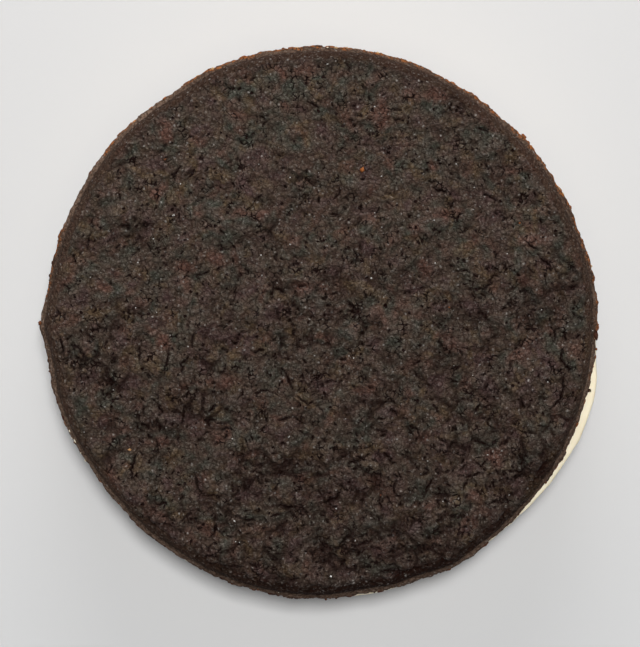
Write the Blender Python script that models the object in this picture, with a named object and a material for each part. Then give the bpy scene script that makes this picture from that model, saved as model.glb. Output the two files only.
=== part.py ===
"""A round chocolate sandwich biscuit: two dark baked biscuits with ivory cream between them.

Metres, +Z up.  The sandwich lies flat, and the origin is the middle of the side that it rests on.
The right-hand side (+X) turned a little to the front (-Y) is where the cream was squeezed out.
"""

from math import atan2, cos, degrees, exp, pi, radians, sin, tau

import bmesh
import bpy
from mathutils import Vector, noise

# Driving dimensions
BISCUIT_RADIUS = 0.0400  # to the crumbly foot, the widest ring of a biscuit
BISCUIT_THICKNESS = 0.0062
CREAM_THICKNESS = 0.0048
CREAM_RADIUS = 0.03975
TOUCH_GAP = 0.0003  # left between pieces that touch

# Half-section of a biscuit that lies with its baked face up
SHOULDER_WIDTH = 0.0019  # the rounding from the face to the side
SHOULDER_DROP = 0.0038
SIDE_INSET = 0.0009  # the side leans in this far from the foot
FOOT_HEIGHT = 0.0013
FOOT_UNDERCUT = 0.0004

# Unevenness from rolling, cutting and baking
FACE_SAG = 0.00060  # deepest dip of the gently uneven face
DIP_LENGTH = 0.0070  # from one dip to the next
FOOT_CRUMB = 0.00030  # how far the crumbs of the foot stand out or are missing
FOOT_CRUMB_LENGTH = 0.0022
RESTING_RADIUS = 0.0220  # the lower biscuit is flat inside this, so the sandwich stands firmly

# Cream, pressed off centre and squeezed out on one side
CREAM_SHIFT = 0.0004
CREAM_SHIFT_ANGLE = radians(-28)
CREAM_EDGE_ROUNDING = 0.0007
CREAM_WAVE = 0.00012

# Fineness of the turned forms
SEGMENTS = 108
FACE_RINGS = 13
SHOULDER_RINGS = 4
CREAM_EDGE_RINGS = 5
SHARP_ANGLE = radians(55)  # steeper edges than this are shaded as edges

# (angle, half width, height), angles in degrees: swells above and worn places below the round outline
TOP_RIM = (
    (7, 5, 0.00036),
    (51, 4, -0.00017),
    (78, 6, 0.00028),
    (99, 12, 0.00028),
    (111, 3, 0.00018),
    (123, 4, -0.00022),
    (158, 8, -0.00020),
    (180, 3, 0.00066),
    (189, 3, -0.00022),
    (217, 9, -0.00062),
    (236, 9, -0.00038),
    (279, 3, -0.00028),
    (291, 4, -0.00015),
    (300, 4, 0.00048),
    (333, 12, 0.00028),
    (354, 5, 0.00020),
)
BOTTOM_RIM = (
    (25, 6, 0.00025),
    (72, 10, -0.00030),
    (141, 10, -0.00060),
    (205, 12, -0.00022),
    (262, 6, 0.00028),
    (318, 9, -0.00026),
)
# likewise for the cream, which stands out past the biscuits on one side
CREAM_TONGUES = (
    (-15, 6.5, 0.00098),
    (-26, 9, 0.00070),
    (-37, 8, 0.00030),
    (-141, 10, -0.00080),
)

# (x, y, radius, depth): hollows baked into a face
TOP_HOLLOWS = (
    (-0.0232, -0.0213, 0.0045, 0.00040),
    (0.0159, 0.0193, 0.0032, 0.00035),
    (0.0029, 0.0164, 0.0034, 0.00030),
    (0.0120, -0.0345, 0.0030, 0.00030),
    (-0.0279, 0.0106, 0.0022, 0.00045),
)
BOTTOM_HOLLOWS = (
    (0.0270, 0.0140, 0.0040, 0.00035),
    (-0.0080, 0.0300, 0.0034, 0.00030),
    (-0.0300, -0.0090, 0.0036, 0.00040),
)


def bump_at(distance, half_width):
    """A smooth bump: 1 in its middle, gone at about three half widths."""
    return exp(-0.5 * (distance / half_width) ** 2)


def outline_change(angle, features):
    """How far a list of swells and worn places moves the outline at one angle."""
    change = 0.0
    for centre, half_width, height in features:
        away = (degrees(angle) - centre + 180) % 360 - 180
        change += height * bump_at(away, half_width)
    return change


def smooth_step(value, start, end):
    """0 before start, 1 after end, and a smooth rise between them."""
    share = min(max((value - start) / (end - start), 0.0), 1.0)
    return share * share * (3.0 - 2.0 * share)


def biscuit_section():
    """Half-section (radius, height) from the middle of the face round to the middle of the back."""
    face_radius = BISCUIT_RADIUS - SIDE_INSET - SHOULDER_WIDTH
    points = [(face_radius * ring / FACE_RINGS, BISCUIT_THICKNESS) for ring in range(FACE_RINGS)]
    for ring in range(SHOULDER_RINGS + 1):
        turn = pi / 2 * ring / SHOULDER_RINGS
        points.append((
            face_radius + SHOULDER_WIDTH * sin(turn),
            BISCUIT_THICKNESS - SHOULDER_DROP * (1.0 - cos(turn)),
        ))
    points += [
        (BISCUIT_RADIUS - SIDE_INSET * 0.8, FOOT_HEIGHT * 1.2),
        (BISCUIT_RADIUS, FOOT_HEIGHT * 0.75),
        (BISCUIT_RADIUS - FOOT_UNDERCUT * 0.2, FOOT_HEIGHT * 0.3),
        (BISCUIT_RADIUS - FOOT_UNDERCUT, 0.0),
        (BISCUIT_RADIUS * 0.5, 0.0),
        (0.0, 0.0),
    ]
    return points


def cream_section():
    """Half-section of the cream: a flat layer with a soft, bulging edge."""
    inner_radius = CREAM_RADIUS - CREAM_EDGE_ROUNDING
    points = [(0.0, CREAM_THICKNESS), (CREAM_RADIUS * 0.5, CREAM_THICKNESS)]
    for ring in range(CREAM_EDGE_RINGS + 1):
        turn = pi * ring / CREAM_EDGE_RINGS
        points.append((
            inner_radius + CREAM_EDGE_ROUNDING * sin(turn),
            CREAM_THICKNESS / 2 * (1.0 + cos(turn)),
        ))
    points += [(CREAM_RADIUS * 0.5, 0.0), (0.0, 0.0)]
    return points


def turned_form(section):
    """A closed round form: the half-section spun once about the Z axis."""
    form = bmesh.new()
    verts = [form.verts.new((radius, 0.0, height)) for radius, height in section]
    edges = [form.edges.new(pair) for pair in zip(verts, verts[1:])]
    bmesh.ops.spin(
        form, geom=verts + edges, cent=(0, 0, 0), axis=(0, 0, 1), angle=tau, steps=SEGMENTS,
        use_merge=True,
    )
    bmesh.ops.remove_doubles(form, verts=form.verts, dist=1e-6)
    bmesh.ops.recalc_face_normals(form, faces=form.faces)
    return form


def bake(form, rim, hollows, batch, resting_radius=0.0):
    """Give a plain turned biscuit its uneven face, outline and crumbly foot.

    Each batch has a pattern of dips and crumbs of its own.
    """
    for vert in form.verts:
        x, y, height = vert.co
        radius = vert.co.xy.length
        angle = atan2(y, x)
        upward = height / BISCUIT_THICKNESS

        dip = 0.5 + 0.8 * noise.noise(Vector((x, y, batch)) / DIP_LENGTH)
        sag = FACE_SAG * min(max(dip, 0.0), 1.0)
        for hollow_x, hollow_y, hollow_radius, depth in hollows:
            sag += depth * bump_at(Vector((x - hollow_x, y - hollow_y)).length, hollow_radius / 2)
        if resting_radius:
            sag *= smooth_step(radius, resting_radius, resting_radius * 1.3)
        vert.co.z -= sag * upward

        crumb = FOOT_CRUMB * noise.noise(Vector((x, y, batch)) / FOOT_CRUMB_LENGTH)
        reach = outline_change(angle, rim) + crumb * smooth_step(upward, 0.45, 0.15)
        reach *= smooth_step(radius, 0.80 * BISCUIT_RADIUS, 0.96 * BISCUIT_RADIUS)
        vert.co.x += reach * cos(angle)
        vert.co.y += reach * sin(angle)


def squeeze(form):
    """Press the plain cream layer off centre and out past the biscuits on one side."""
    for vert in form.verts:
        x, y, height = vert.co
        radius = vert.co.xy.length
        angle = atan2(y, x)
        fullness = sin(pi * height / CREAM_THICKNESS)
        wave = CREAM_WAVE * noise.noise(Vector((x, y, height)) / DIP_LENGTH)
        reach = CREAM_SHIFT * cos(angle - CREAM_SHIFT_ANGLE) + wave
        reach += outline_change(angle, CREAM_TONGUES) * (0.45 + 0.55 * fullness)
        reach *= smooth_step(radius, 0.80 * CREAM_RADIUS, 0.96 * CREAM_RADIUS)
        vert.co.x += reach * cos(angle)
        vert.co.y += reach * sin(angle)


def food_material(name, colour, roughness):
    material = bpy.data.materials.new(name)
    material.use_nodes = True
    shader = material.node_tree.nodes["Principled BSDF"]
    shader.inputs["Base Color"].default_value = (*colour, 1.0)
    shader.inputs["Roughness"].default_value = roughness
    shader.inputs["Metallic"].default_value = 0.0
    return material


def place(name, form, material, height, turned_over=False):
    """Make one named piece from a finished form and set it at its height in the stack."""
    mesh = bpy.data.meshes.new(name)
    form.to_mesh(mesh)
    form.free()
    mesh.materials.append(material)
    mesh.shade_smooth()
    mesh.set_sharp_from_angle(angle=SHARP_ANGLE)
    piece = bpy.data.objects.new(name, mesh)
    piece.location.z = height
    if turned_over:
        piece.rotation_euler.x = pi
    bpy.context.scene.collection.objects.link(piece)
    return piece


for old in list(bpy.data.objects):
    bpy.data.objects.remove(old, do_unlink=True)

dark_biscuit = food_material("dark_biscuit", (0.050, 0.034, 0.027), 0.75)
cream = food_material("cream", (0.870, 0.765, 0.590), 0.50)

# The lower biscuit lies on its baked face, so it is turned over.
lower = turned_form(biscuit_section())
bake(lower, BOTTOM_RIM, BOTTOM_HOLLOWS, batch=0.31, resting_radius=RESTING_RADIUS)
place("bottom_biscuit", lower, dark_biscuit, BISCUIT_THICKNESS, turned_over=True)

# The cream is spread on its back.
filling = turned_form(cream_section())
squeeze(filling)
cream_height = BISCUIT_THICKNESS + TOUCH_GAP
place("cream_filling", filling, cream, cream_height)

# The upper biscuit is pressed onto the cream, baked face up.
upper = turned_form(biscuit_section())
bake(upper, TOP_RIM, TOP_HOLLOWS, batch=0.17)
place("top_biscuit", upper, dark_biscuit, cream_height + CREAM_THICKNESS + TOUCH_GAP)
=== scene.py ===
import math
import random

import bmesh
import bpy
from mathutils import Euler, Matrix, Vector, kdtree, noise


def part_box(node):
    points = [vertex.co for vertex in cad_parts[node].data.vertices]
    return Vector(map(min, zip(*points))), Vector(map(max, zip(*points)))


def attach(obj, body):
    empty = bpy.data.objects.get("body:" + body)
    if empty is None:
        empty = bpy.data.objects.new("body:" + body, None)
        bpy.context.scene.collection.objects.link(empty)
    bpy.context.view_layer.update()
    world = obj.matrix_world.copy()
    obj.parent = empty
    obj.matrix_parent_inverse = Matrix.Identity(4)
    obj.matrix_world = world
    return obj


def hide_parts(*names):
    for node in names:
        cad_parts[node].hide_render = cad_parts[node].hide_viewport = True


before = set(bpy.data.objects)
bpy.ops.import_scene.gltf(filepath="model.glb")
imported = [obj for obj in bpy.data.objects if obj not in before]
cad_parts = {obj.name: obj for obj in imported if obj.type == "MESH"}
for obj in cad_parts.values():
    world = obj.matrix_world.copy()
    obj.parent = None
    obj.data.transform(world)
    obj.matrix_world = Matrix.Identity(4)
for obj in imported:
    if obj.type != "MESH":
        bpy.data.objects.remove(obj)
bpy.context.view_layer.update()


# ---- Lower biscuit ---------------------------------------------------------------------------
# A thin round of dark cocoa dough, cut with a ring and baked hard.  Its baked face is a pebbly,
# torn crust, its shoulder is smooth, and its cut side is open crumb that frays at the foot.
# It lies on its baked face, so the crust is underneath and the foot is next to the cream.

low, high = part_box("bottom_biscuit")
biscuit_thickness = high.z - low.z
biscuit_radius = 0.0400  # to the crumbly foot
shoulder_width = 0.0019
shoulder_drop = 0.0038
side_lean = 0.0009
foot_height = 0.0013
foot_undercut = 0.0004
side_radius = biscuit_radius - side_lean
face_radius = side_radius - shoulder_width
resting_gap = 0.00002  # between the crust that it lies on and the table
mesh_step = 0.00030  # from one corner of the mesh to the next, and half of this along the cracks

crust_swells = ((0.0060, 0.00024), (0.0030, 0.00012))  # gentle rise and fall: length, height
boulder_size = 0.0027
lump_size = 0.0012
pebble_size = 0.00075
lump_height = 0.00070
lump_bend = 0.00035  # how far the lumps are pushed out of shape
lump_bend_size = 0.0016
seam_share = 0.20  # of a lump's size that its open seam may take up
strain_patch = 0.0085  # across a patch of crust that was pulled apart alike
tear_step = 0.0001  # between the close points of a tear
tear_kinds = (  # how many, shortest, longest, widest half width
    (130, 0.0010, 0.0034, 0.00019),
    (900, 0.0004, 0.0011, 0.00018),
)
crack_half_widths = (0.00014, 0.00020)
crack_depth = 0.00015
curl_height = 0.00006  # of the lips beside a tear, one up and one down
curl_width = 0.0006
side_crumb_size = 0.00085
side_crumb_height = 0.00022
fray_kinds = ((0.00130, 0.00016), (0.00062, 0.00010))  # crumbs of the foot: size, how far they stand out
fray_loss = 0.00009  # how far in the foot lies where its crumbs fell off
toast_waver = 34.0  # degrees that the ends of a browned arc wander
noise.seed_set(7)  # every run bends the lumps of dough alike


def grade(value, start, end):
    """0 before start, 1 after end, and a smooth rise between them."""
    share = min(max((value - start) / (end - start), 0.0), 1.0)
    return share * share * (3.0 - 2.0 * share)


def steps_between(start, end):
    """Points from one ring to the next, a mesh step apart, without the first."""
    count = max(1, round(math.dist(start, end) / mesh_step))
    return [
        (start[0] + (end[0] - start[0]) * i / count, start[1] + (end[1] - start[1]) * i / count)
        for i in range(1, count + 1)
    ]


def biscuit_rings():
    """Rings of the plain biscuit, (radius, height), from the middle of the face to that of the back."""
    rings = [(0.0, biscuit_thickness)]
    rings += steps_between(rings[0], (face_radius, biscuit_thickness))
    turns = round(1.1 * math.dist((0.0, 0.0), (shoulder_width, shoulder_drop)) / mesh_step)
    for i in range(1, turns + 1):
        turn = 0.5 * math.pi * i / turns
        rings.append((
            face_radius + shoulder_width * math.sin(turn),
            biscuit_thickness - shoulder_drop * (1.0 - math.cos(turn)),
        ))
    for corner in (
        (side_radius, foot_height * 1.45),
        (biscuit_radius - side_lean * 0.45, foot_height * 1.05),
        (biscuit_radius - foot_undercut * 0.2, foot_height * 0.70),
        (biscuit_radius - foot_undercut * 0.2, foot_height * 0.35),
        (biscuit_radius - foot_undercut, 0.0),
    ):
        rings += steps_between(rings[-1], corner)
    step = mesh_step
    while rings[-1][0] > step * 2.6:
        step *= 1.6
        rings.append((rings[-1][0] - step, 0.0))
    return rings + [(0.0, 0.0)]


def round_form(rings):
    """A closed round form: even corners round every ring, and triangles between the rings."""
    form = bmesh.new()
    before, before_shift = [], 0.0
    for i, (radius, height) in enumerate(rings):
        beside = rings[i - 1] if i else rings[1]
        spacing = max(math.dist((radius, height), beside), mesh_step * 0.9)
        count = max(6, round(math.tau * radius / spacing)) if radius else 1
        shift = 0.5 * (i % 2)
        ring = []
        for j in range(count):
            angle = math.tau * (j + shift) / count
            ring.append(form.verts.new((radius * math.cos(angle), radius * math.sin(angle), height)))
        a = b = 0
        while before and (a < len(before) or b < count):
            a_next = (a + 1 + before_shift) / len(before) if a < len(before) > 1 else 9.0
            b_next = (b + 1 + shift) / count if b < count > 1 else 9.0
            if a_next == b_next == 9.0:
                break
            inner, outer = before[a % len(before)], ring[b % count]
            if b_next < a_next:
                b += 1
                form.faces.new((inner, outer, ring[b % count]))
            else:
                a += 1
                form.faces.new((inner, outer, before[a % len(before)]))
        before, before_shift = ring, shift
    bmesh.ops.recalc_face_normals(form, faces=form.faces)
    return form


def strain_at(x, y, batch, coarse_side):
    """How far the crust was pulled apart, 0 to 1: patchy, and more towards one side of the biscuit."""
    patch = 0.5 + 0.9 * noise.noise(Vector((x, y, batch)) / strain_patch)
    lean = 0.5 + 0.5 * (x * math.cos(coarse_side) + y * math.sin(coarse_side)) / biscuit_radius
    return min(max(0.45 * patch + 0.55 * lean, 0.0), 1.0)


def lump_luck(centre, shuffle=57.0):
    """The luck of one lump or crumb, -1 to 1, the same all over it."""
    return noise.cell(centre * shuffle)


def packed_lumps(spot, size):
    """Lumps of dough packed side by side: the height on a lump and the nearness of a seam, 0 to 1."""
    apart, centres = noise.voronoi(spot / size)
    fullness = 0.65 + 0.35 * lump_luck(centres[0])
    height = fullness * (1.0 - min(apart[0] / 0.85, 1.0) ** 2)
    return height, grade(seam_share - apart[1] + apart[0], 0.0, seam_share)


def crust_relief(spot, strain):
    """Relief of the baked crust: its lift, how far a spot stands up, about -1 to 1, and any open seam."""
    bent = spot + noise.noise_vector(spot / lump_bend_size) * lump_bend
    boulder, boulder_seam = packed_lumps(bent, boulder_size)
    lump, lump_seam = packed_lumps(bent + Vector((0.0, 0.0, 0.3)), lump_size)
    pebble = noise.fractal(bent / pebble_size, 0.7, 2.1, 2)
    pulled = grade(noise.noise(spot / 0.0040) + strain, 0.6, 1.2)
    split = grade(strain + 0.6 * noise.noise(spot / 0.0045), 0.55, 0.90)
    seam = max(boulder_seam * split, 0.7 * lump_seam * pulled)
    raised = (0.15 + strain) * 1.4 * (boulder - 0.35) + 0.7 * (lump - 0.35) + 0.35 * pebble - 0.5 * seam
    swell = sum(height * noise.noise(spot / length) for length, height in crust_swells)
    return swell + lump_height * raised, raised, seam


def jagged_tear(luck, place, heading, length, width):
    """Close points along one tear, which turns aside by chance and narrows to both ends."""
    tear = []
    turn = 0.0
    points = round(length / tear_step)
    for i in range(points + 1):
        if luck.random() < 0.25:
            turn = luck.gauss(0.0, 0.80)
        place = place + Vector((math.cos(heading + turn), math.sin(heading + turn), 0.0)) * tear_step
        if place.length > face_radius:
            break
        taper = math.sin(math.pi * (i + 0.5) / (points + 1)) ** 0.5
        tear.append((place, heading + turn, width * taper * luck.uniform(0.55, 1.0)))
    return tear


def tear_crust(luck, batch, coarse_side):
    """Jagged tears and short gaps in the crust, as close points (place, heading, half width)."""
    tears = []
    for count, shortest, longest, widest in tear_kinds:
        made = 0
        while made < count:
            angle = luck.uniform(0.0, math.tau)
            radius = (face_radius - 0.0004) * math.sqrt(luck.random())
            place = Vector((radius * math.cos(angle), radius * math.sin(angle), 0.0))
            strain = strain_at(place.x, place.y, batch, coarse_side)
            if luck.random() > 0.10 + 1.5 * strain ** 2.2:
                continue
            made += 1
            # near the rim the crust tears along the rim, and in the middle any way
            heading = angle + math.pi / 2 + luck.gauss(0.0, 1.5 - 1.0 * radius / face_radius)
            length = shortest + (longest - shortest) * luck.random() ** 1.8
            width = widest * luck.uniform(0.55, 1.0)
            tears += jagged_tear(luck, place, heading, length, width)
    return tears


def open_cracks(paths, luck):
    """Close points, as for the other tears, along cracks given by their corners in millimetres."""
    tears = []
    for path in paths:
        corners = [Vector((x, y, 0.0)) * 0.001 for x, y in path]
        length = sum((end - start).length for start, end in zip(corners, corners[1:]))
        width = luck.uniform(*crack_half_widths)
        passed = 0.0
        for start, end in zip(corners, corners[1:]):
            run = end - start
            heading = math.atan2(run.y, run.x)
            across = Vector((-math.sin(heading), math.cos(heading), 0.0))
            count = max(1, round(run.length / tear_step))
            for i in range(count):
                passed += run.length / count
                place = start + run * (i / count)
                place += across * 0.00022 * noise.noise(place / 0.0005 + Vector((0.0, 0.0, 7.0)))
                taper = math.sin(math.pi * min(max(passed / length, 0.04), 0.96)) ** 0.4
                tears.append((place, heading, width * taper * luck.uniform(0.65, 1.0)))
    return tears


def rim_change(angle, features):
    """How much of the features, (angle in degrees, half width, height), there is at one angle."""
    change = 0.0
    for centre, half_width, height in features:
        away = (math.degrees(angle) - centre + 180.0) % 360.0 - 180.0
        change += height * math.exp(-0.5 * (away / half_width) ** 2)
    return change


def toast_at(angle, spot, toasted):
    """How far the open foot browned at one spot, 0 to 1, from (middle, half width) of arcs in degrees."""
    uneven = toast_waver * noise.noise(spot / 0.0030)
    share = 0.0
    for middle, half_width in toasted:
        away = abs((math.degrees(angle) - middle + 180.0) % 360.0 - 180.0)
        share = max(share, grade(half_width - away + uneven, -15.0, 15.0))
    return share


def tear_relief(place, face, seam, tears, tear_tree):
    """The crust's lift beside and in its nearest tear, and how open it is there, 0 to 1."""
    tear, i, away = tear_tree.find((place.x, place.y, 0.0))
    _, heading, half_width = tears[i]
    crack = face * grade(half_width - away, -0.00008, 0.00005)
    off_line = (place.y - tear.y) * math.cos(heading) - (place.x - tear.x) * math.sin(heading)
    curl = math.copysign(curl_height, off_line) * grade(curl_width - away, 0.0, curl_width)
    lift = face * curl * (1.0 - crack) - crack * (crack_depth + 2.5 * half_width)
    return lift, max(crack, 0.75 * face * seam)


def side_relief(spot):
    """Lift of the open side: domes of crumb, and the holes that crumbs left."""
    apart, centres = noise.voronoi(spot / side_crumb_size)
    crumb_luck = 0.5 + 0.5 * lump_luck(centres[0])
    dome = max(0.0, 1.0 - (apart[0] / 0.75) ** 2)
    return side_crumb_height * (crumb_luck - 0.45) * dome


def foot_relief(spot):
    """Lift of the frayed foot: crumbs of two sizes that stand out in patches."""
    fray = 0.0
    patch = 0.5 + noise.noise(spot / 0.0055)
    for fray_size, fray_reach in fray_kinds:
        apart, centres = noise.voronoi(Vector((spot.x, spot.y, spot.z * 0.45)) / fray_size)
        fray_luck = 0.5 + 0.5 * lump_luck(centres[0], 31.0)
        dome = max(0.0, 1.0 - (apart[0] / 0.85) ** 2) ** 0.6
        fray += fray_reach * dome * grade(fray_luck + patch - 0.5, 0.20, 0.75)
    return fray - fray_loss


def lay_map(form, title, reach, back_radius):
    """Flat layout for finishing: face and side as one disc, and the hidden back small in a corner."""
    layout = form.loops.layers.uv.new(title)
    top = max(vert.co.z for vert in form.verts)
    for face in form.faces:
        hidden = max(vert.co.z for vert in face.verts) < 1e-6
        for loop in face.loops:
            flat = loop.vert.co.xy
            radius = flat.length
            turn = flat / radius if radius else flat
            if hidden:
                loop[layout].uv = Vector((0.912, 0.912)) + turn * (0.080 * radius / back_radius)
            else:
                share = (radius + top - loop.vert.co.z) / reach
                loop[layout].uv = Vector((0.5, 0.5)) + turn * (0.49 * share)


def refine_along(form, tears, tear_tree):
    """Halve the mesh of the baked face along its tears, where its shapes are finest."""
    near_tears = []
    for edge in form.edges:
        middle = (edge.verts[0].co + edge.verts[1].co) / 2
        if middle.z > biscuit_thickness * 0.9 and middle.xy.length < face_radius + mesh_step:
            _, i, away = tear_tree.find((middle.x, middle.y, 0.0))
            if away < tears[i][2] + mesh_step * 0.5:
                near_tears.append(edge)
    bmesh.ops.subdivide_edges(form, edges=near_tears, cuts=1, use_grid_fill=True)
    bmesh.ops.triangulate(form, faces=[face for face in form.faces if len(face.verts) > 3])
    form.normal_update()


# What baking leaves at every corner of the mesh, from 0 to 1, for the material to read, and the
# painted shade of the shoulder.
baking_marks = ("crack", "raised", "strain", "rim_band", "toast", "foot", "shoulder_shade")


def bake_biscuit(
    name, base, batch, coarse_side, toasted, shaded_shoulder_arcs, crust_over, rim, hollows, cracks, turned_over=False,
):
    """One baked biscuit, from the plain round to its torn crust, open side and frayed foot.

    batch shifts all its patterns, and coarse_side is the direction in which it tore most.  Round the rim,
    toasted lists browned arcs of the foot, partly painted light where they face the back light, the next
    list gives the arcs of the shoulder darkened as painted shade, and crust_over the arcs where the crust
    reaches further over the shoulder.
    """
    luck = random.Random(name)
    form = round_form(biscuit_rings())
    tears = tear_crust(luck, batch, coarse_side) + open_cracks(cracks, luck)
    tear_tree = kdtree.KDTree(len(tears))
    for i, tear in enumerate(tears):
        tear_tree.insert(tear[0], i)
    tear_tree.balance()
    refine_along(form, tears, tear_tree)
    lay_map(form, "OFBake", biscuit_radius + biscuit_thickness, biscuit_radius)
    for face in form.faces:
        face.material_index = int(face.calc_center_median().z < biscuit_thickness - 0.00015)

    layers = [form.verts.layers.float.new(mark) for mark in baking_marks]
    for vert in form.verts:
        place = vert.co.copy()
        radius = place.xy.length
        angle = math.atan2(place.y, place.x)
        spot = Vector((place.x, place.y, place.z + batch))
        if place.z < 1e-6 and radius < biscuit_radius - foot_undercut * 1.5:
            continue  # the back, hidden on the cream, stays plain
        inward = radius - rim_change(angle, crust_over)
        face = 1.0 - grade(inward, face_radius - 0.0002, face_radius + shoulder_width * 0.7)
        side = grade(biscuit_thickness - place.z, 0.0004, 0.0014)
        foot = grade(foot_height * 1.6 - place.z, 0.0, foot_height * 0.8)
        strain = strain_at(place.x, place.y, batch, coarse_side)

        lift, raised, seam = crust_relief(spot, strain)
        lift *= 0.25 + 0.75 * face
        for hollow_x, hollow_y, hollow_radius, depth in hollows:
            off = math.dist((hollow_x, hollow_y), (place.x, place.y)) / hollow_radius
            lift -= depth * math.exp(-2.0 * off * off)
        crack = 0.0
        if face > 0.05:
            tear_lift, crack = tear_relief(place, face, seam, tears, tear_tree)
            lift += tear_lift
        if side > 0.0:
            lift += side * (1.0 - foot) * side_relief(spot)
        browned = 0.0
        toast = 0.0
        if foot > 0.0:
            lift += foot * foot_relief(spot)
            # the foot browns most on the far side, partly real toasting and partly painted light where the
            # back light falls
            browned_to = foot_height * (1.0 + 0.35 * noise.noise(spot / 0.0011))
            browned = toast_at(angle, spot, toasted)
            toast = browned * grade(browned_to - place.z, 0.0, foot_height * 0.12)
        lip = grade(foot_height * 1.9 - place.z, 0.0, foot_height * 0.6)
        # the lip stays pale away from the browned arcs: painted light that evens out the less lit arcs of
        # the rim
        pale_lip = lip * (1.0 - 0.75 * browned)
        # painted shade: the shoulder darkened arc by arc, most on the near side, where the light falls
        # least
        outer = grade(radius, face_radius - 0.0012, face_radius + shoulder_width * 0.5)
        shoulder_shade = outer * (1.0 - 0.8 * lip) * rim_change(angle, shaded_shoulder_arcs)
        marks = (crack, raised * face, strain, 1.0 - face, toast, pale_lip, shoulder_shade)
        for layer, mark in zip(layers, marks):
            vert[layer] = mark

        place += vert.normal * lift
        reach = rim_change(angle, rim) * grade(radius, 0.80 * biscuit_radius, 0.96 * biscuit_radius)
        place.x += reach * math.cos(angle)
        place.y += reach * math.sin(angle)
        vert.co = place

    for vert in form.verts:
        if turned_over:
            vert.co = (vert.co.x, -vert.co.y, max(biscuit_thickness - vert.co.z, resting_gap))
        vert.co.z += base
    biscuit = add_piece(name, form)
    biscuit.data.materials.append(dark_crust)
    biscuit.data.materials.append(open_crumb)
    return biscuit


def add_piece(name, form):
    """A smooth-shaded piece made from a finished form."""
    mesh = bpy.data.meshes.new(name)
    form.to_mesh(mesh)
    form.free()
    mesh.shade_smooth()
    piece = bpy.data.objects.new(name, mesh)
    bpy.context.scene.collection.objects.link(piece)
    return piece


def new_material(title):
    """A new material, with its tree of nodes and its shader."""
    material = bpy.data.materials.new(title)
    material.use_nodes = True
    tree = material.node_tree
    return material, tree, tree.nodes["Principled BSDF"]


def add_node(tree, kind, **settings):
    """A node with its settings; a setting named as one of its inputs fills or links that input."""
    node = tree.nodes.new(kind)
    for title, value in settings.items():
        sockets = [s for s in node.inputs if s.name.lower() == title and s.enabled]
        if not sockets:
            setattr(node, title, value)
        elif isinstance(value, bpy.types.NodeSocket):
            tree.links.new(value, sockets[0])
        else:
            sockets[0].default_value = value
    return node


def blend_colours(tree, share, first, second):
    """Colour between two, each a colour or a socket."""
    node = tree.nodes.new("ShaderNodeMix")
    node.data_type = "RGBA"
    # sockets 0, 6 and 7 of a colour mix are its share and its two colours, and output 2 is the colour
    for socket, value in ((node.inputs[0], share), (node.inputs[6], first), (node.inputs[7], second)):
        if isinstance(value, bpy.types.NodeSocket):
            tree.links.new(value, socket)
        else:
            socket.default_value = value if isinstance(value, float) else (*value, 1.0)
    return node.outputs[2]


def spread(tree, value, start, end, to_start=0.0, to_end=1.0):
    """A value stretched from one range to another and held there."""
    node = tree.nodes.new("ShaderNodeMapRange")
    tree.links.new(value, node.inputs["Value"])
    for title, number in zip(("From Min", "From Max", "To Min", "To Max"), (start, end, to_start, to_end)):
        node.inputs[title].default_value = number
    return node.outputs["Result"]


def sums(tree, kind, first, second):
    """The result of one sum on two values or sockets."""
    node = tree.nodes.new("ShaderNodeMath")
    node.operation = kind
    for socket, value in zip(node.inputs, (first, second)):
        if isinstance(value, bpy.types.NodeSocket):
            tree.links.new(value, socket)
        else:
            socket.default_value = value
    return node.outputs[0]


# The crumb of the dough, used by the crust, the open side and the loose crumbs: fine grain, packed
# pebbles with gaps between them, specks partly of sugar and partly painted glints, and patches left by
# fat and cocoa.
crumb_fineness = 2300.0  # grains to a metre
crumb_group = bpy.data.node_groups.new("cocoa_crumb", "ShaderNodeTree")
crumb_group.interface.new_socket("Fineness", in_out="INPUT", socket_type="NodeSocketFloat")
for title in ("Grain", "Pebbles", "Gaps", "Specks", "Grey Patches", "Red Patches", "Tan Patches", "Cloud"):
    crumb_group.interface.new_socket(title, in_out="OUTPUT", socket_type="NodeSocketFloat")


def patchwork(place, scale, detail, roughness, distortion=0.0):
    """Soft patches all through the dough, the smaller the higher their scale."""
    return add_node(
        crumb_group, "ShaderNodeTexNoise", vector=place, scale=scale, detail=detail, roughness=roughness,
        distortion=distortion,
    ).outputs["Fac"]


fineness = add_node(crumb_group, "NodeGroupInput").outputs["Fineness"]
place = add_node(crumb_group, "ShaderNodeTexCoord").outputs["Object"]
grain = add_node(
    crumb_group, "ShaderNodeTexNoise", vector=place, scale=fineness, detail=2.0, roughness=0.75,
)
cloud = patchwork(place, 120.0, 3.0, 0.6)
grey_patches = patchwork(place, 300.0, 1.5, 0.5)
red_patches = patchwork(place, 290.0, 1.5, 0.5, distortion=0.3)
tan_patches = patchwork(place, 350.0, 2.0, 0.5, distortion=0.4)
loosened = patchwork(place, 480.0, 2.0, 0.55)
shake = add_node(crumb_group, "ShaderNodeVectorMath", operation="SCALE", scale=0.00040)
crumb_group.links.new(grain.outputs["Color"], shake.inputs[0])
shaken = add_node(crumb_group, "ShaderNodeVectorMath", operation="ADD")
crumb_group.links.new(place, shaken.inputs[0])
crumb_group.links.new(shake.outputs[0], shaken.inputs[1])
shaken = shaken.outputs[0]
packed = add_node(
    crumb_group, "ShaderNodeTexVoronoi", feature="DISTANCE_TO_EDGE", vector=shaken, scale=1350.0,
).outputs["Distance"]
pebbles = spread(crumb_group, packed, 0.0, 0.30)
seam_width = spread(crumb_group, loosened, 0.60, 0.74, 0.0, 0.15)
seams = spread(crumb_group, sums(crumb_group, "SUBTRACT", seam_width, packed), -0.02, 0.05)
holes = add_node(crumb_group, "ShaderNodeTexVoronoi", vector=shaken, scale=1150.0)
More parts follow.
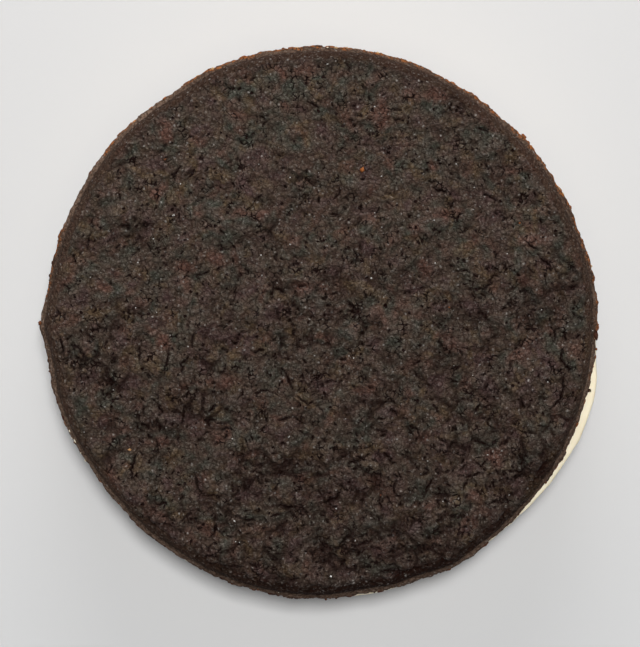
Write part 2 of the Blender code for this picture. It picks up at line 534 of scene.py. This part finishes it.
hole_luck = add_node(crumb_group, "ShaderNodeSeparateColor", color=holes.outputs["Color"]).outputs[0]
hole_size = sums(crumb_group, "MULTIPLY", sums(crumb_group, "POWER", hole_luck, 3.0), 0.30)
pits = spread(crumb_group, sums(crumb_group, "SUBTRACT", hole_size, holes.outputs["Distance"]), -0.03, 0.05)
# pale specks, partly sugar and partly painted glints
sugar = add_node(crumb_group, "ShaderNodeTexVoronoi", vector=shaken, scale=1600.0)
speck_luck = add_node(crumb_group, "ShaderNodeSeparateColor", color=sugar.outputs["Color"]).outputs[0]
specks = sums(
    crumb_group, "MULTIPLY",
    spread(crumb_group, sugar.outputs["Distance"], 0.34, 0.10),
    sums(crumb_group, "POWER", speck_luck, 6.0),
)
crumb_out = add_node(crumb_group, "NodeGroupOutput")
for title, value in (
    ("Grain", grain.outputs["Fac"]),
    ("Pebbles", pebbles),
    ("Gaps", sums(crumb_group, "MAXIMUM", seams, pits)),
    ("Specks", specks),
    ("Grey Patches", grey_patches),
    ("Red Patches", red_patches),
    ("Tan Patches", tan_patches),
    ("Cloud", cloud),
):
    crumb_group.links.new(value, crumb_out.inputs[title])


def baked_dough(title, gloss, roughest, smoothest):
    """Dark baked cocoa dough: its tones, grain and gaps, the marks on the mesh, and painted shade and
    light.
    """
    material, tree, shader = new_material(title)
    crumb = add_node(tree, "ShaderNodeGroup", node_tree=crumb_group, fineness=crumb_fineness).outputs
    crack, raised, strain, rim_band, toast, foot, shoulder_shade = (
        add_node(tree, "ShaderNodeAttribute", attribute_name=mark).outputs["Fac"] for mark in baking_marks
    )
    cocoa = (0.0795, 0.0545, 0.0392)
    charcoal = (0.051, 0.0538, 0.0400)
    mauve = (0.076, 0.0435, 0.0392)
    tan = (0.108, 0.0705, 0.0370)
    russet = (0.116, 0.0560, 0.0400)
    rim_brown = (0.093, 0.0575, 0.0400)
    foot_brown = (0.24, 0.160, 0.115)
    caramel = (0.29, 0.098, 0.028)
    # painted shade of the shoulder
    painted_shoulder_shade = (0.014, 0.006, 0.004)
    shade = (0.020, 0.0078, 0.0056)
    # painted shade in the cracks and gaps
    crack_shade = (0.009, 0.0014, 0.0005)
    # painted light on the raised lumps and pale grain
    light = (0.24, 0.205, 0.18)
    # pale specks, partly sugar and partly painted glints
    speck_glint = (0.42, 0.39, 0.36)
    gaps = sums(tree, "MULTIPLY", crumb["Gaps"], spread(tree, rim_band, 0.0, 1.0, 1.0, 0.2))
    tone = blend_colours(tree, spread(tree, crumb["Grey Patches"], 0.46, 0.64), cocoa, charcoal)
    for share, colour in (
        (spread(tree, crumb["Grey Patches"], 0.45, 0.30), mauve),
        (spread(tree, crumb["Tan Patches"], 0.54, 0.72), tan),
        (spread(tree, crumb["Red Patches"], 0.53, 0.73), russet),
        (sums(tree, "MULTIPLY", rim_band, 0.8), rim_brown),
        # pale lip, kept paler away from the browned far side as painted light
        (sums(tree, "MULTIPLY", foot, 0.8), foot_brown),
        # painted shade on the shoulder, arc by arc
        (shoulder_shade, painted_shoulder_shade),
        (spread(tree, crumb["Cloud"], 0.55, 0.35, 0.0, 0.14), shade),
        # painted shade: darker where the crust tore most, towards the near side
        (spread(tree, strain, 0.25, 0.85, 0.0, 0.28), shade),
        # painted shade in the low spots and painted light on the raised lumps
        (spread(tree, raised, 0.0, -0.80, 0.0, 0.34), shade),
        (spread(tree, raised, 0.10, 0.80, 0.0, 0.15), light),
        # painted shade in the seams between pebbles and in the dark grain, and painted highlights on the
        # pale grain
        (spread(tree, crumb["Pebbles"], 0.50, 0.0, 0.0, 0.34), shade),
        (spread(tree, crumb["Grain"], 0.54, 0.32, 0.0, 0.58), shade),
        (spread(tree, crumb["Grain"], 0.58, 0.74, 0.0, 0.52), light),
        # pale specks, partly sugar and partly painted glints
        (sums(tree, "MULTIPLY", crumb["Specks"], 0.58), speck_glint),
        # painted shade in the cracks, open seams and pits
        (sums(tree, "MAXIMUM", gaps, crack), crack_shade),
        # caramel of the browned foot, on the far side partly painted light
        (sums(tree, "MULTIPLY", toast, spread(tree, crumb["Pebbles"], 0.1, 0.6)), caramel),
    ):
        tone = blend_colours(tree, share, tone, colour)
    tree.links.new(tone, shader.inputs["Base Color"])
    tree.links.new(spread(tree, crumb["Grain"], 0.3, 0.7, roughest, smoothest), shader.inputs["Roughness"])
    shader.inputs["Specular IOR Level"].default_value = gloss
    relief = sums(tree, "MULTIPLY", crumb["Pebbles"], 0.3)
    relief = sums(tree, "ADD", relief, sums(tree, "MULTIPLY", crumb["Grain"], 0.8))
    relief = sums(tree, "SUBTRACT", relief, sums(tree, "MULTIPLY", gaps, 0.7))
    bump = add_node(tree, "ShaderNodeBump", height=relief, distance=0.00045, strength=1.0)
    tree.links.new(bump.outputs["Normal"], shader.inputs["Normal"])
    return material


dark_crust = baked_dough("dark_crust", gloss=0.13, roughest=0.65, smoothest=0.45)
open_crumb = baked_dough("open_crumb", gloss=0.03, roughest=1.0, smoothest=0.9)

lower_biscuit = bake_biscuit(
    "lower_biscuit", base=low.z, batch=0.31, coarse_side=math.radians(150), turned_over=True,
    # browned arcs of the foot, partly painted light on the far side
    toasted=((-60, 75),),
    # arcs of the shoulder darkened as painted shade
    shaded_shoulder_arcs=((60, 40, 0.7), (-120, 40, 0.45)),
    crust_over=((120, 30, 0.0006),),
    rim=(
        (25, 6, 0.00025), (72, 10, -0.00030), (141, 10, -0.00060),
        (205, 12, -0.00022), (262, 6, 0.00028), (318, 9, -0.00026),
    ),
    hollows=(  # x, y, radius, depth
        (0.0270, 0.0140, 0.0040, 0.00025),
        (-0.0080, 0.0300, 0.0034, 0.0002),
        (-0.0300, -0.0090, 0.0036, 0.0003),
    ),
    cracks=(
        ((-27.0, 3.4), (-25.8, 4.1), (-24.9, 5.6)), ((12.4, 20.1), (13.0, 18.6), (14.4, 17.9)),
        ((-8.0, -22.3), (-6.4, -22.9), (-5.1, -22.4)), ((24.3, -9.2), (25.6, -10.4), (25.8, -12.1)),
    ),
)
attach(lower_biscuit, "root")
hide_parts("bottom_biscuit")


# ---- Cream ------------------------------------------------------------------------------------
# A layer of ivory sugar cream, spread soft and pressed between the biscuits, so that its edge
# bulges and is squeezed out past them on one side.  It sticks to both biscuits.

low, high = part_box("cream_filling")
cream_radius = 0.03975
cream_grip = 0.00042  # the cream reaches this far past its box, into the open crumb above and below
cream_rounding = 0.0006
cream_thickness = high.z - low.z + 2.0 * cream_grip
cream_shift = 0.0004  # off the middle of the biscuits
cream_shift_angle = math.radians(-28)
cream_tongues = (
    (-15, 6.5, 0.00098), (-24.5, 1.0, 0.00012), (-26, 9, 0.00070), (-37, 8, 0.00030), (-141, 10, -0.00080),
)
cream_waves = (  # length, height, and how much closer the waves lie up and down than round the edge
    (0.0055, 0.00018, 1.0), (0.0022, 0.00012, 2.5), (0.0008, 0.00003, 1.0),
)


def cream_rings():
    """Rings of the pressed cream, from the middle of its top round the bulging edge to its underside."""
    inner = cream_radius - cream_rounding
    flat_rings = 24
    flat = [inner * i / flat_rings for i in range(flat_rings)]
    rings = [(radius, cream_thickness) for radius in flat]
    turns = round(cream_thickness * 1.1 / mesh_step)
    for i in range(turns + 1):
        turn = math.pi * i / turns
        rings.append((
            inner + cream_rounding * math.sin(turn) ** 0.5,
            cream_thickness * 0.5 * (1.0 + math.copysign(abs(math.cos(turn)) ** 0.5, math.cos(turn))),
        ))
    return rings + [(radius, 0.0) for radius in reversed(flat)]


form = round_form(cream_rings())
lay_map(form, "OFBake", cream_radius + cream_thickness, cream_radius)
for vert in form.verts:
    x, y, height = vert.co
    radius = vert.co.xy.length
    angle = math.atan2(y, x)
    reach = cream_shift * math.cos(angle - cream_shift_angle)
    for wave_length, wave_height, closer in cream_waves:
        reach += wave_height * noise.noise(Vector((x, y, height * closer)) / wave_length)
    reach += rim_change(angle, cream_tongues) * (0.55 + 0.45 * height / cream_thickness)
    reach *= grade(radius, 0.90 * cream_radius, 0.97 * cream_radius)
    vert.co += Vector((reach * math.cos(angle), reach * math.sin(angle), low.z - cream_grip))
cream = add_piece("cream", form)

ivory_cream, tree, shader = new_material("ivory_cream")
ivory = (0.95, 0.835, 0.61)
deep_ivory = (0.91, 0.785, 0.56)
place = add_node(tree, "ShaderNodeTexCoord").outputs["Object"]
drift = add_node(tree, "ShaderNodeTexNoise", vector=place, scale=350.0, detail=3.0, roughness=0.55)
sugar = add_node(tree, "ShaderNodeTexNoise", vector=place, scale=3200.0, detail=2.0, roughness=0.6)
tone = blend_colours(tree, spread(tree, drift.outputs["Fac"], 0.35, 0.65), ivory, deep_ivory)
tree.links.new(tone, shader.inputs["Base Color"])
tree.links.new(spread(tree, sugar.outputs["Fac"], 0.3, 0.7, 0.42, 0.60), shader.inputs["Roughness"])
shader.inputs["Subsurface Weight"].default_value = 0.25
shader.inputs["Subsurface Radius"].default_value = (1.0, 0.75, 0.5)
shader.inputs["Subsurface Scale"].default_value = 0.0015
height = sums(tree, "ADD", sugar.outputs["Fac"], sums(tree, "MULTIPLY", drift.outputs["Fac"], 2.0))
bump = add_node(tree, "ShaderNodeBump", height=height, distance=0.00006, strength=0.6)
tree.links.new(bump.outputs["Normal"], shader.inputs["Normal"])

cream.data.materials.append(ivory_cream)
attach(cream, "root")
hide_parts("cream_filling")


# ---- Upper biscuit ----------------------------------------------------------------------------
# The second round of the same batch, pressed onto the cream with its baked crust on top.  Its foot
# browned most on the far side, partly as painted light, its shoulder is darkened most on the near side as
# painted shade, and its cracks are its own.

upper_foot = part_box("top_biscuit")[0].z
upper_biscuit = bake_biscuit(
    "upper_biscuit", base=upper_foot, batch=0.17, coarse_side=math.radians(-75),
    # browned arcs of the foot, partly painted light on the far side
    toasted=((62, 60), (132, 3), (169, 12)),
    # arcs of the shoulder darkened as painted shade, most on the near side
    shaded_shoulder_arcs=((-80, 30, 0.92), (78, 34, 0.60), (135, 20, 0.24)),
    crust_over=((-42, 22, 0.0010), (-105, 25, 0.0005)),
    rim=(
        (7, 5, 0.00036), (51, 4, -0.00017), (78, 6, 0.00028), (99, 12, 0.00028), (111, 3, 0.00018),
        (123, 4, -0.00022), (158, 8, -0.00020), (180, 3, 0.00066), (189, 3, -0.00022), (217, 9, -0.00062),
        (236, 9, -0.00038), (279, 3, -0.00028), (291, 4, -0.00015), (300, 4, 0.00048), (333, 12, 0.00028),
        (354, 5, 0.00020),
    ),
    hollows=(
        (-0.0232, -0.0213, 0.0045, 0.00030),
        (0.0159, 0.0193, 0.0032, 0.00025),
        (0.0029, 0.0164, 0.0034, 0.00020),
        (0.0120, -0.0345, 0.0030, 0.00020),
        (-0.0279, 0.0106, 0.0022, 0.00035),
    ),
    cracks=(
        ((-18.4, -3.4), (-18.2, -1.7), (-17.5, -1.0)), ((-19.8, -7.3), (-19.8, -5.8), (-18.5, -4.5)),
        ((-22.3, -7.9), (-22.3, -6.7), (-21.8, -5.5), (-21.7, -3.1)), ((-25.9, -3.3), (-25.8, -5.5)),
        ((-35.3, -2.7), (-34.3, -4.0), (-33.2, -5.4)), ((-36.9, -1.8), (-36.8, -4.5)),
        ((-30.6, -7.6), (-30.0, -8.3), (-28.9, -8.6)), ((-23.4, -11.3), (-23.0, -12.2), (-22.3, -12.9)),
        ((-19.7, -14.4), (-19.6, -12.9), (-19.2, -11.4)), ((-26.5, -14.1), (-25.9, -15.1), (-25.3, -15.5)),
        ((-26.3, -18.5), (-26.8, -20.0), (-27.2, -21.0), (-27.2, -22.7)), ((-16.6, -13.9), (-15.0, -13.8)),
        ((-15.9, -12.8), (-15.3, -11.9), (-14.5, -11.7)), ((-9.3, -10.1), (-8.1, -9.6), (-6.7, -9.9)),
        ((-5.0, -7.4), (-4.2, -8.6), (-3.9, -9.8)), ((-3.2, -10.5), (-1.4, -11.8)),
        ((-14.2, -15.3), (-13.3, -14.8), (-12.3, -15.4)), ((-16.8, -24.7), (-15.2, -24.6), (-13.7, -24.7)),
        ((0.2, -25.8), (2.2, -25.1), (3.1, -23.6)), ((-3.7, -13.3), (-2.6, -14.3)),
        ((-5.9, -13.9), (-4.1, -13.4)),
        ((10.7, -24.7), (10.6, -23.4), (11.0, -22.2)), ((9.1, -18.6), (10.1, -19.2)),
        ((26.4, -21.0), (28.6, -21.2), (29.7, -20.3)), ((16.2, -29.7), (17.3, -29.1)),
        ((20.9, -22.0), (22.3, -21.6), (23.4, -21.2)), ((14.9, -24.9), (15.4, -23.5), (16.2, -22.0)),
        ((32.9, -12.2), (34.1, -10.9), (34.7, -9.6), (34.7, -8.5), (34.9, -7.0)),
        ((34.8, -3.3), (34.3, -5.0), (34.8, -5.8), (35.6, -6.3), (36.1, -6.8)),
        ((34.9, -1.2), (35.1, -2.6)), ((31.2, 10.0), (31.5, 9.4), (32.8, 8.4), (33.1, 7.8)),
        ((22.5, -16.5), (22.9, -17.0), (24.6, -17.6)),
        ((8.7, -35.7), (9.8, -35.4), (10.8, -35.2)), ((-16.8, -33.8), (-15.8, -33.4), (-14.7, -33.7)),
        ((16.4, -24.3), (17.4, -24.5), (18.5, -24.5)), ((16.2, 19.5), (17.1, 19.1), (18.2, 18.8)),
        ((-6.8, 5.2), (-5.8, 4.8), (-4.9, 4.3)), ((24.7, 5.9), (23.8, 5.3), (23.1, 4.6)),
        ((5.2, -19.1), (6.1, -19.3), (6.9, -19.8)), ((23.0, -11.3), (22.5, -12.2), (22.0, -12.9)),
        ((3.9, 3.3), (4.5, 2.6), (5.2, 2.1)), ((-9.3, -28.1), (-11.1, -28.2)),
        ((28.6, -10.6), (29.0, -11.4), (29.3, -12.3)), ((-18.0, 22.1), (-18.4, 21.3), (-18.9, 20.6)),
        ((6.5, -32.4), (5.7, -32.8), (5.1, -33.5)), ((29.6, 11.7), (30.2, 11.0), (31.1, 10.7)),
        ((18.3, -7.8), (19.0, -8.1), (19.8, -8.5)), ((15.6, -32.2), (16.3, -31.5), (17.2, -31.6)),
        ((20.1, -6.1), (18.5, -6.6)), ((-7.0, -27.6), (-5.5, -27.2)), ((1.3, 15.7), (2.9, 15.5)),
        ((-1.4, 31.7), (-0.1, 30.9)), ((-10.9, -34.9), (-12.4, -34.9), (-14.1, -35.1)),
        ((12.8, -14.6), (13.9, -15.2), (14.3, -16.3)), ((10.1, -12.2), (11.2, -13.3)),
    ),
)
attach(upper_biscuit, "root")
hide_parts("top_biscuit")


# ---- Foot crumbs ------------------------------------------------------------------------------
# Crumbs that the cutter and the hot tray left hanging on the foot of each biscuit, mostly as short
# ridges along it.  They are open dough, so they toasted to anything from burnt brown to caramel.

hanging_sizes = (0.00008, 0.00019)  # half widths


def crumb_form():
    """An empty form for crumbs, each of which keeps how brown it was baked."""
    form = bmesh.new()
    form.verts.layers.float.new("browning")
    return form


def add_crumb(form, place, along, size, browning, luck):
    """One irregular crumb: size is its half length along, across and up."""
    across = along.cross(Vector((0.0, 0.0, 1.0))).normalized()
    up = across.cross(along)
    shift = Vector((luck.uniform(0.0, 90.0), 0.0, 0.0))
    browning_layer = form.verts.layers.float["browning"]
    for vert in bmesh.ops.create_icosphere(form, subdivisions=2, radius=1.0)["verts"]:
        knobs = 1.0 + 0.55 * noise.noise(vert.co * 1.2 + shift) + 0.35 * noise.noise(vert.co * 2.9 + shift)
        part = vert.co * knobs
        vert.co = place + along * (part.x * size[0]) + across * (part.y * size[1]) + up * (part.z * size[2])
        vert[browning_layer] = browning


def edge_spot(biscuit, outward, height):
    """The place where a level line from outside first meets the biscuit, or None."""
    start = outward * 0.05 + Vector((0.0, 0.0, height))
    found, spot, _, _ = biscuit.ray_cast(start, -outward)
    return spot if found else None


def hang_foot_crumbs(form, biscuit, count, heights, browned_side, palest, browner, luck):
    """Crumbs along the foot of one biscuit, from palest up to browner than that on its browned side."""
    for _ in range(count):
        angle = luck.uniform(-math.pi, math.pi)
        height = luck.uniform(*heights)
        outward = Vector((math.cos(angle), math.sin(angle), 0.0))
        spot = edge_spot(biscuit, outward, height)
        size = luck.uniform(*hanging_sizes)
        along = Vector((-outward.y, outward.x, luck.uniform(-0.2, 0.2))).normalized()
        stretch = luck.uniform(1.0, 3.2)
        browning = palest + browner * grade(math.cos(angle - browned_side), -0.25, 0.45)
        browning = min(max(browning + luck.gauss(0.0, 0.22), 0.0), 1.0)
        if spot:
            spot -= outward * size * 0.15
            add_crumb(form, spot, along, (size * stretch, size, size * 1.1), browning, luck)


toasted_crumb, tree, shader = new_material("toasted_crumb")
crumb = add_node(tree, "ShaderNodeGroup", node_tree=crumb_group, fineness=crumb_fineness).outputs
browning = add_node(tree, "ShaderNodeAttribute", attribute_name="browning").outputs["Fac"]
burnt_crumb = (0.034, 0.013, 0.009)
brown_crumb = (0.125, 0.042, 0.019)
caramel_crumb = (0.31, 0.100, 0.026)
pale_crumb = (0.60, 0.40, 0.20)
dark_grain = (0.030, 0.010, 0.006)
light_grain = (0.50, 0.30, 0.15)
tone = blend_colours(tree, spread(tree, browning, 0.0, 0.4), burnt_crumb, brown_crumb)
for share, colour in (
    (spread(tree, browning, 0.4, 0.8), caramel_crumb),
    (spread(tree, browning, 0.85, 1.0), pale_crumb),
    (spread(tree, crumb["Grain"], 0.60, 0.33, 0.0, 0.40), dark_grain),
    (spread(tree, crumb["Grain"], 0.55, 0.74, 0.0, 0.20), light_grain),
):
    tone = blend_colours(tree, share, tone, colour)
tree.links.new(tone, shader.inputs["Base Color"])
tree.links.new(spread(tree, crumb["Grain"], 0.3, 0.7, 0.9, 0.6), shader.inputs["Roughness"])
shader.inputs["Specular IOR Level"].default_value = 0.15
bump = add_node(tree, "ShaderNodeBump", height=crumb["Grain"], distance=0.00020, strength=1.0)
tree.links.new(bump.outputs["Normal"], shader.inputs["Normal"])

luck = random.Random("foot crumbs")
bpy.context.view_layer.update()
form = crumb_form()
hang_foot_crumbs(
    form, upper_biscuit, 250, heights=(upper_foot + 0.0002, upper_foot + 0.0010),
    # crumbs browner on the far side: partly real toasting and partly painted light
    browned_side=math.radians(62), palest=0.08, browner=0.55, luck=luck,
)
lower_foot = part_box("bottom_biscuit")[1].z  # it lies turned over, foot upwards
hang_foot_crumbs(
    form, lower_biscuit, 130, heights=(lower_foot - 0.0011, lower_foot - 0.0003),
    browned_side=math.radians(-60), palest=0.10, browner=0.45, luck=luck,
)
foot_crumbs = add_piece("foot_crumbs", form)
foot_crumbs.data.materials.append(toasted_crumb)
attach(foot_crumbs, "root")


# ---- Loose crumbs -----------------------------------------------------------------------------
# Crumbs of the same dough that broke off when the biscuits were handled, and fell on the crust or
# caught at its edge.

crumbs_on_crust = (  # x, y, half width, length to width, browning
    (0.00605, 0.02200, 0.00030, 1.3, 0.82), (-0.02730, -0.01810, 0.00018, 1.5, 0.93),
    (0.01850, 0.00230, 0.00012, 1.2, 0.55), (-0.02220, 0.02350, 0.00014, 1.4, 0.45),
    (0.00870, -0.02460, 0.00014, 1.2, 0.35), (0.02860, 0.01440, 0.00013, 1.3, 0.60),
)
crumbs_at_edge = (  # angle in degrees, height on the foot, half width, length to width, out, browning
    (-2.4, 0.0012, 0.00032, 2.0, 0.00022, 0.12), (-1.3, 0.0014, 0.00018, 1.6, 0.00018, 0.45),
    (-5.3, 0.0008, 0.00016, 1.2, 0.00010, 0.62), (-88.8, 0.0006, 0.00020, 1.0, 0.00012, 0.20),
    (-13.9, 0.0007, 0.00022, 1.2, 0.00016, 0.10), (-21.4, 0.0010, 0.00018, 1.7, 0.00002, 0.60),
    (180.0, 0.0009, 0.00030, 1.2, 0.00006, 0.48), (190.0, 0.0009, 0.00014, 1.2, 0.00002, 0.35),
    (86.7, 0.0012, 0.00020, 1.5, -0.00004, 0.98), (84.5, 0.0009, 0.00017, 1.2, 0.00002, 0.93),
    (90.5, 0.0008, 0.00016, 4.2, 0.00008, 0.15), (42.5, 0.0006, 0.00024, 2.2, 0.00016, 0.70),
    (41.0, 0.0008, 0.00020, 1.5, 0.00004, 0.60), (61.0, 0.0006, 0.00018, 2.8, 0.00006, 0.68),
    (29.0, 0.0006, 0.00018, 2.6, 0.00008, 0.70), (106.0, 0.0006, 0.00020, 2.4, 0.00010, 0.62),
    (-104.0, 0.0007, 0.00016, 2.6, 0.00006, 0.25), (-100.5, 0.0006, 0.00015, 2.2, 0.00008, 0.20),
)


def crust_spot(x, y):
    """The place on the upper crust straight below a point, or None past its edge."""
    found, spot, _, _ = upper_biscuit.ray_cast(Vector((x, y, 0.05)), Vector((0.0, 0.0, -1.0)))
    return spot if found else None


luck = random.Random("loose crumbs")
form = crumb_form()
for x, y, size, stretch, browning in crumbs_on_crust:
    turn = luck.uniform(0.0, math.pi)
    along = Vector((math.cos(turn), math.sin(turn), 0.0))
    spot = crust_spot(x, y) + Vector((0.0, 0.0, size * 0.5))
    add_crumb(form, spot, along, (size * stretch, size, size * 0.8), browning, luck)
for angle, height, size, stretch, out, browning in crumbs_at_edge:
    outward = Vector((math.cos(math.radians(angle)), math.sin(math.radians(angle)), 0.0))
    along = Vector((-outward.y, outward.x, 0.0))
    spot = edge_spot(upper_biscuit, outward, upper_foot + height) + outward * out
    add_crumb(form, spot, along, (size * stretch, size, size), browning, luck)
loose_crumbs = add_piece("loose_crumbs", form)
loose_crumbs.data.materials.append(toasted_crumb)
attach(loose_crumbs, "root")


# ---- Sugar grains -----------------------------------------------------------------------------
# Sugar crystals that did not melt in the oven: small slanted blocks with worn edges, sunk about
# halfway into the crust.

grain_count = 54
grain_half_sizes = (0.000040, 0.000090)
brightest_grains = ((0.01910, 0.00190), (0.01760, -0.02550), (0.03925, -0.00100), (0.03260, -0.00840))

luck = random.Random("sugar grains")
form = bmesh.new()
for i in range(grain_count):
    if i < len(brightest_grains):
        x, y = brightest_grains[i]
    else:
        angle = luck.uniform(0.0, math.tau)
        reach = 0.0375 * math.sqrt(luck.random())
        x, y = reach * math.cos(angle), reach * math.sin(angle)
    spot = crust_spot(x, y)
    half = luck.uniform(*grain_half_sizes)
    grain_turn = Euler([luck.uniform(0.0, math.pi) for _ in range(3)]).to_matrix()
    crystal = bmesh.ops.create_cube(form, size=2.0)["verts"]
    stretch = Vector((half * luck.uniform(0.8, 1.3), half, half * luck.uniform(0.6, 1.0)))
    for vert in crystal:
        slant = 0.25 * vert.co.z
        vert.co = spot + grain_turn @ (Vector((vert.co.x + slant, vert.co.y, vert.co.z)) * stretch)
    edges = dict.fromkeys(edge for vert in crystal for edge in vert.link_edges)
    bmesh.ops.bevel(form, geom=list(edges), offset=half * 0.35, segments=1, affect="EDGES")
form.normal_update()
sugar_grains = add_piece("sugar_grains", form)
sugar_grains.data.shade_flat()

sugar_white, tree, shader = new_material("sugar_white")
dull_sugar = (0.26, 0.24, 0.22)
clear_sugar = (0.62, 0.60, 0.57)
place = add_node(tree, "ShaderNodeTexCoord").outputs["Object"]
cloudy = add_node(tree, "ShaderNodeTexNoise", vector=place, scale=9000.0, detail=1.0).outputs["Fac"]
tone = blend_colours(tree, spread(tree, cloudy, 0.35, 0.65), dull_sugar, clear_sugar)
tree.links.new(tone, shader.inputs["Base Color"])
tree.links.new(spread(tree, cloudy, 0.3, 0.7, 0.35, 0.15), shader.inputs["Roughness"])
sugar_grains.data.materials.append(sugar_white)
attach(sugar_grains, "root")


# ---- Cream smears -----------------------------------------------------------------------------
# Bits of cream that were squeezed or wiped onto the edges of the upper biscuit when the two were
# pressed together.

smears = (  # x, y, half width, length to width
    (-0.03628, -0.01560, 0.00013, 1.5), (-0.03600, -0.01660, 0.00008, 1.2),
    (-0.03558, -0.01690, 0.00012, 4.2), (-0.03420, -0.01995, 0.00016, 1.3),
    (-0.03470, -0.01880, 0.00008, 1.4), (0.00630, -0.03935, 0.00013, 1.2),
    (0.01050, -0.03885, 0.00012, 1.5), (-0.00600, -0.03885, 0.00010, 1.0),
    (0.03985, -0.00213, 0.00012, 1.2), (0.00110, 0.04000, 0.00010, 1.4),
)

luck = random.Random("cream smears")
form = crumb_form()
for x, y, size, stretch in smears:
    outward = Vector((x, y, 0.0)).normalized()
    along = Vector((-outward.y, outward.x, 0.0))
    spot = crust_spot(x, y) or edge_spot(upper_biscuit, outward, upper_foot + 0.0007)
    add_crumb(form, spot, along, (size * stretch, size, size), 0.0, luck)
cream_smears = add_piece("cream_smears", form)
cream_smears.data.materials.append(ivory_cream)
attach(cream_smears, "root")


# ---- Table ------------------------------------------------------------------------------------
# A plain sheet of pale matt paper under the sandwich and far wider than it, with a very faint fibre.
# Towards the back its tone is a little darker and warmer: painted shade that evens out the light there.

bpy.ops.mesh.primitive_plane_add(size=6.0, location=(0.0, 0.0, 0.0))
table = bpy.context.object
table.name = "paper"
paper, tree, shader = new_material("pale_paper")
near_paper = (0.66, 0.66, 0.66)
shaded_far_paper = (0.645, 0.637, 0.632)
paper_fibre = (0.60, 0.59, 0.58)
place = add_node(tree, "ShaderNodeTexCoord").outputs["Object"]
fibre = add_node(tree, "ShaderNodeTexNoise", vector=place, scale=900.0, detail=3.0).outputs["Fac"]
towards_back = add_node(tree, "ShaderNodeSeparateXYZ", vector=place).outputs["Y"]
# painted shade: the paper darker towards the back, where the lamps light it most
tone = blend_colours(tree, spread(tree, towards_back, -0.05, 0.05), near_paper, shaded_far_paper)
tone = blend_colours(tree, spread(tree, fibre, 0.3, 0.7, 0.0, 0.03), tone, paper_fibre)
tree.links.new(tone, shader.inputs["Base Color"])
shader.inputs["Roughness"].default_value = 0.95
shader.inputs["Specular IOR Level"].default_value = 0.1
table.data.materials.append(paper)


# ---- Light and camera -------------------------------------------------------------------------
# A soft lamp nearly overhead, a little to the back, and a weak narrow one low at the back, in a dim
# pale room.  The camera looks straight down on the upper biscuit.

def soft_lamp(name, place, size, power, opening):
    """A rectangular lamp that faces the sandwich, with its light kept to an opening in degrees."""
    lamp = bpy.data.lights.new(name, "AREA")
    lamp.shape = "RECTANGLE"
    lamp.size, lamp.size_y = size
    lamp.energy = power
    lamp.spread = math.radians(opening)
    holder = bpy.data.objects.new(name, lamp)
    holder.location = place
    holder.rotation_euler = (-Vector(place)).to_track_quat("-Z", "Y").to_euler()
    holder.visible_camera = False
    bpy.context.scene.collection.objects.link(holder)


soft_lamp("overhead_lamp", place=(0.055, 0.236, 1.6), size=(0.33, 0.42), power=21.5, opening=180)
soft_lamp("back_window", place=(0.0, 0.33, 0.12), size=(0.26, 0.10), power=0.148, opening=70)
room = bpy.data.worlds.new("pale_room")
room.use_nodes = True
room_light = room.node_tree.nodes["Background"].inputs
room_light["Color"].default_value = (0.97, 0.985, 1.0, 1.0)
room_light["Strength"].default_value = 0.11
bpy.context.scene.world = room
bpy.context.scene.view_settings.view_transform = "Standard"

camera_height = 0.42
biscuit_share = 0.86125  # of the picture's width that the upper biscuit takes up
widest_ring = upper_foot + foot_height * 0.6
camera = bpy.data.cameras.new("camera")
camera.sensor_fit = "HORIZONTAL"
camera.sensor_width = 36.0
camera.lens = camera.sensor_width * (camera_height - widest_ring) * biscuit_share / (2.0 * biscuit_radius)
camera.clip_start = 0.01
camera.clip_end = 20.0
holder = bpy.data.objects.new("camera", camera)
holder.location = (0.0, 0.0, camera_height)
bpy.context.scene.collection.objects.link(holder)
bpy.context.scene.camera = holder
